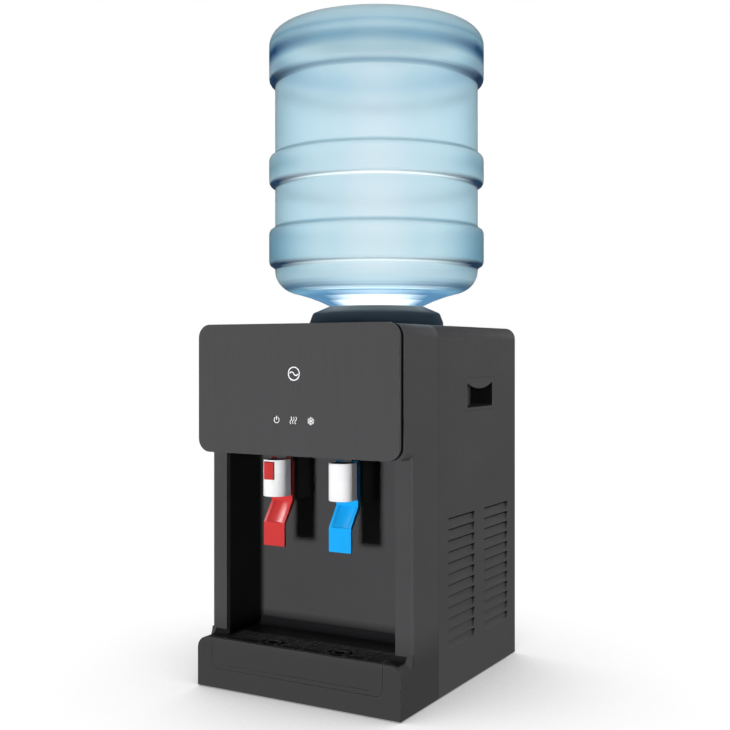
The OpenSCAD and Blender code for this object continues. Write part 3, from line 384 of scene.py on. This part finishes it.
# ---------------------------------------------------------------- edges
SOFT = {
    "front_panel": 0.9, "front_frame": 0.9, "tray_front": 0.8, "top_cover": 0.6, "left_side_panel": 0.35,
    "right_side_panel": 0.35, "rear_panel": 0.35, "alcove_liner": 0.5, "tray_deck": 0.5, "drip_grille": 0.35,
    "left_hand_hold": 0.5, "right_hand_hold": 0.5, "bottle_collar": 0.6, "hot_tap_sleeve": 0.35,
    "cold_tap_sleeve": 0.35, "hot_tap_lever": 0.6, "cold_tap_lever": 0.6, "child_lock_button": 0.4,
    "hot_tap_body": 0.4, "cold_tap_body": 0.4, "switch_bezel": 0.5, "hot_switch": 0.4, "cold_switch": 0.4,
    "drain_cap": 0.4, "cord_gland": 0.4, "rubber_feet": 0.6, "relay_box": 0.6, "drip_tray": 0.4,
}
for name, width in SOFT.items():
    o = nodes[name]
    w = o.modifiers.new("weld", "WELD")
    w.merge_threshold = 0.000002
    b = o.modifiers.new("edge", "BEVEL")
    b.width = width / 1000
    b.segments = 3
    b.limit_method = "ANGLE"
    b.angle_limit = math.radians(38)
    b.use_clamp_overlap = True
    b.harden_normals = True
    b.miter_outer = "MITER_ARC"

# ---------------------------------------------------------------- stage
world = bpy.data.worlds.new("studio")
scene.world = world
t = Tree(world)
out = t.add("ShaderNodeOutputWorld")
mix = t.add("ShaderNodeMixShader")
path = t.add("ShaderNodeLightPath")
seen = t.add("ShaderNodeMath", operation="MAXIMUM")
t.link(path.outputs["Is Camera Ray"], seen.inputs[0])
t.link(path.outputs["Is Transmission Ray"], seen.inputs[1])
dim = t.add("ShaderNodeBackground")
dim.inputs["Color"].default_value = (1, 1, 1, 1)
dim.inputs["Strength"].default_value = 0.07
white = t.add("ShaderNodeBackground")
white.inputs["Color"].default_value = (1, 1, 1, 1)
white.inputs["Strength"].default_value = 1.0
t.link(seen.outputs[0], mix.inputs[0])
t.link(dim.outputs[0], mix.inputs[1])
t.link(white.outputs[0], mix.inputs[2])
t.link(mix.outputs[0], out.inputs["Surface"])

floor_mesh = bpy.data.meshes.new("floor")
ring = [(14 * math.cos(a * math.pi / 32), 14 * math.sin(a * math.pi / 32), 0.0) for a in range(64)]
floor_mesh.from_pydata(ring, [], [list(range(64))])
floor = bpy.data.objects.new("floor", floor_mesh)
scene.collection.objects.link(floor)
fm = bpy.data.materials.new("floor")
t = Tree(fm)
out = t.add("ShaderNodeOutputMaterial")
mix = t.add("ShaderNodeMixShader")
path = t.add("ShaderNodeLightPath")
seen = t.add("ShaderNodeMath", operation="MAXIMUM")
t.link(path.outputs["Is Camera Ray"], seen.inputs[0])
t.link(path.outputs["Is Transmission Ray"], seen.inputs[1])
# the floor glows white to the camera, with a painted contact shadow from ambient occlusion around the cooler
ao = t.add("ShaderNodeAmbientOcclusion")
ao.samples = 12
ao.inputs["Distance"].default_value = 0.6
glow = t.add("ShaderNodeEmission")
t.link(t.spread(ao.outputs["AO"], 0.30, 1.02, 0.335, 0.865), glow.inputs["Strength"])
dull = t.add("ShaderNodeEmission")
dull.inputs["Strength"].default_value = 0.09
t.link(seen.outputs[0], mix.inputs[0])
t.link(dull.outputs[0], mix.inputs[1])
t.link(glow.outputs[0], mix.inputs[2])
t.link(mix.outputs[0], out.inputs["Surface"])
floor.data.materials.append(fm)


def area(name, at, to, size, power, size_y=None, colour=(1, 1, 1), only=None, on=None):
    """A soft light. only="diffuse" keeps its shape out of reflections, only="gloss" makes it nothing but a reflection,
    and on lists the nodes that it lights where it doesn't light everything."""
    d = bpy.data.lights.new(name, "AREA")
    d.shape = "RECTANGLE"
    d.size = size
    d.size_y = size_y or size
    d.energy = power
    d.color = colour
    o = bpy.data.objects.new(name, d)
    o.location = at
    o.rotation_euler = (Vector(to) - Vector(at)).to_track_quat("-Z", "Y").to_euler()
    o.visible_glossy = only != "diffuse"
    o.visible_transmission = False
    o.visible_diffuse = only != "gloss"
    scene.collection.objects.link(o)
    o.visible_camera = False
    if on:
        group = bpy.data.collections.new(name + "_on")
        for n in on:
            group.objects.link(nodes[n])
        o.light_linking.receiver_collection = group
    return o


area("key", (0.0, -2.6, 0.30), (0.0, 0.0, 0.26), 0.30, 66, only="diffuse")
area("left_fill", (-2.6, -0.85, 0.5), (0.0, 0.0, 0.30), 0.9, 22, only="diffuse")
area("right", (2.6, 0.35, 0.7), (0.0, 0.0, 0.30), 1.2, 63, only="diffuse")
area("left", (-2.8, 0.6, 0.9), (0.0, 0.0, 0.30), 1.2, 72, only="diffuse")
area("back", (0.3, 3.0, 0.9), (0.0, 0.0, 0.30), 1.0, 105, only="diffuse")
area("top", (0.1, 0.1, 2.8), (0.0, 0.0, 0.4), 1.0, 12, only="diffuse")
taps = ["hot_tap_lever", "cold_tap_lever"]
area("scoop_glint", (-1.6, -0.3, 1.2), (0.0, 0.0, 0.25), 0.7, 60, only="gloss", on=taps)
area("sleeve_fill", (1.5, -2.1, 0.35), (0.0, 0.0, 0.27), 0.8, 9, only="diffuse", on=["hot_tap_sleeve", "cold_tap_sleeve"])
